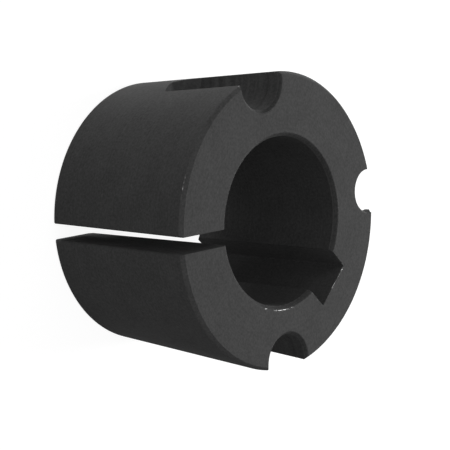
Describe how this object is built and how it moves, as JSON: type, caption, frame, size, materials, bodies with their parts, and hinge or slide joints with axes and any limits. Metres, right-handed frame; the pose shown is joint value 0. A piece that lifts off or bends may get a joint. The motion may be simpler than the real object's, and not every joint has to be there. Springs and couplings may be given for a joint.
{
  "type": "taper bush",
  "caption": "Split tapered sleeve with a straight keyed bore and half holes for screws in the rim of its large end.",
  "frame": {"origin": "on the bore axis, in the small end face, which the bush stands on", "axes": "+Z along the bore axis, up through the large end; +Y through the middle of the keyway; +X completes the right-handed set"},
  "size_m": [0.0352, 0.0352, 0.0222],
  "materials": {
    "iron": "matte dark phosphate over machined iron"
  },
  "bodies": {
    "root": {"bush": "iron"}
  },
  "joints": []
}
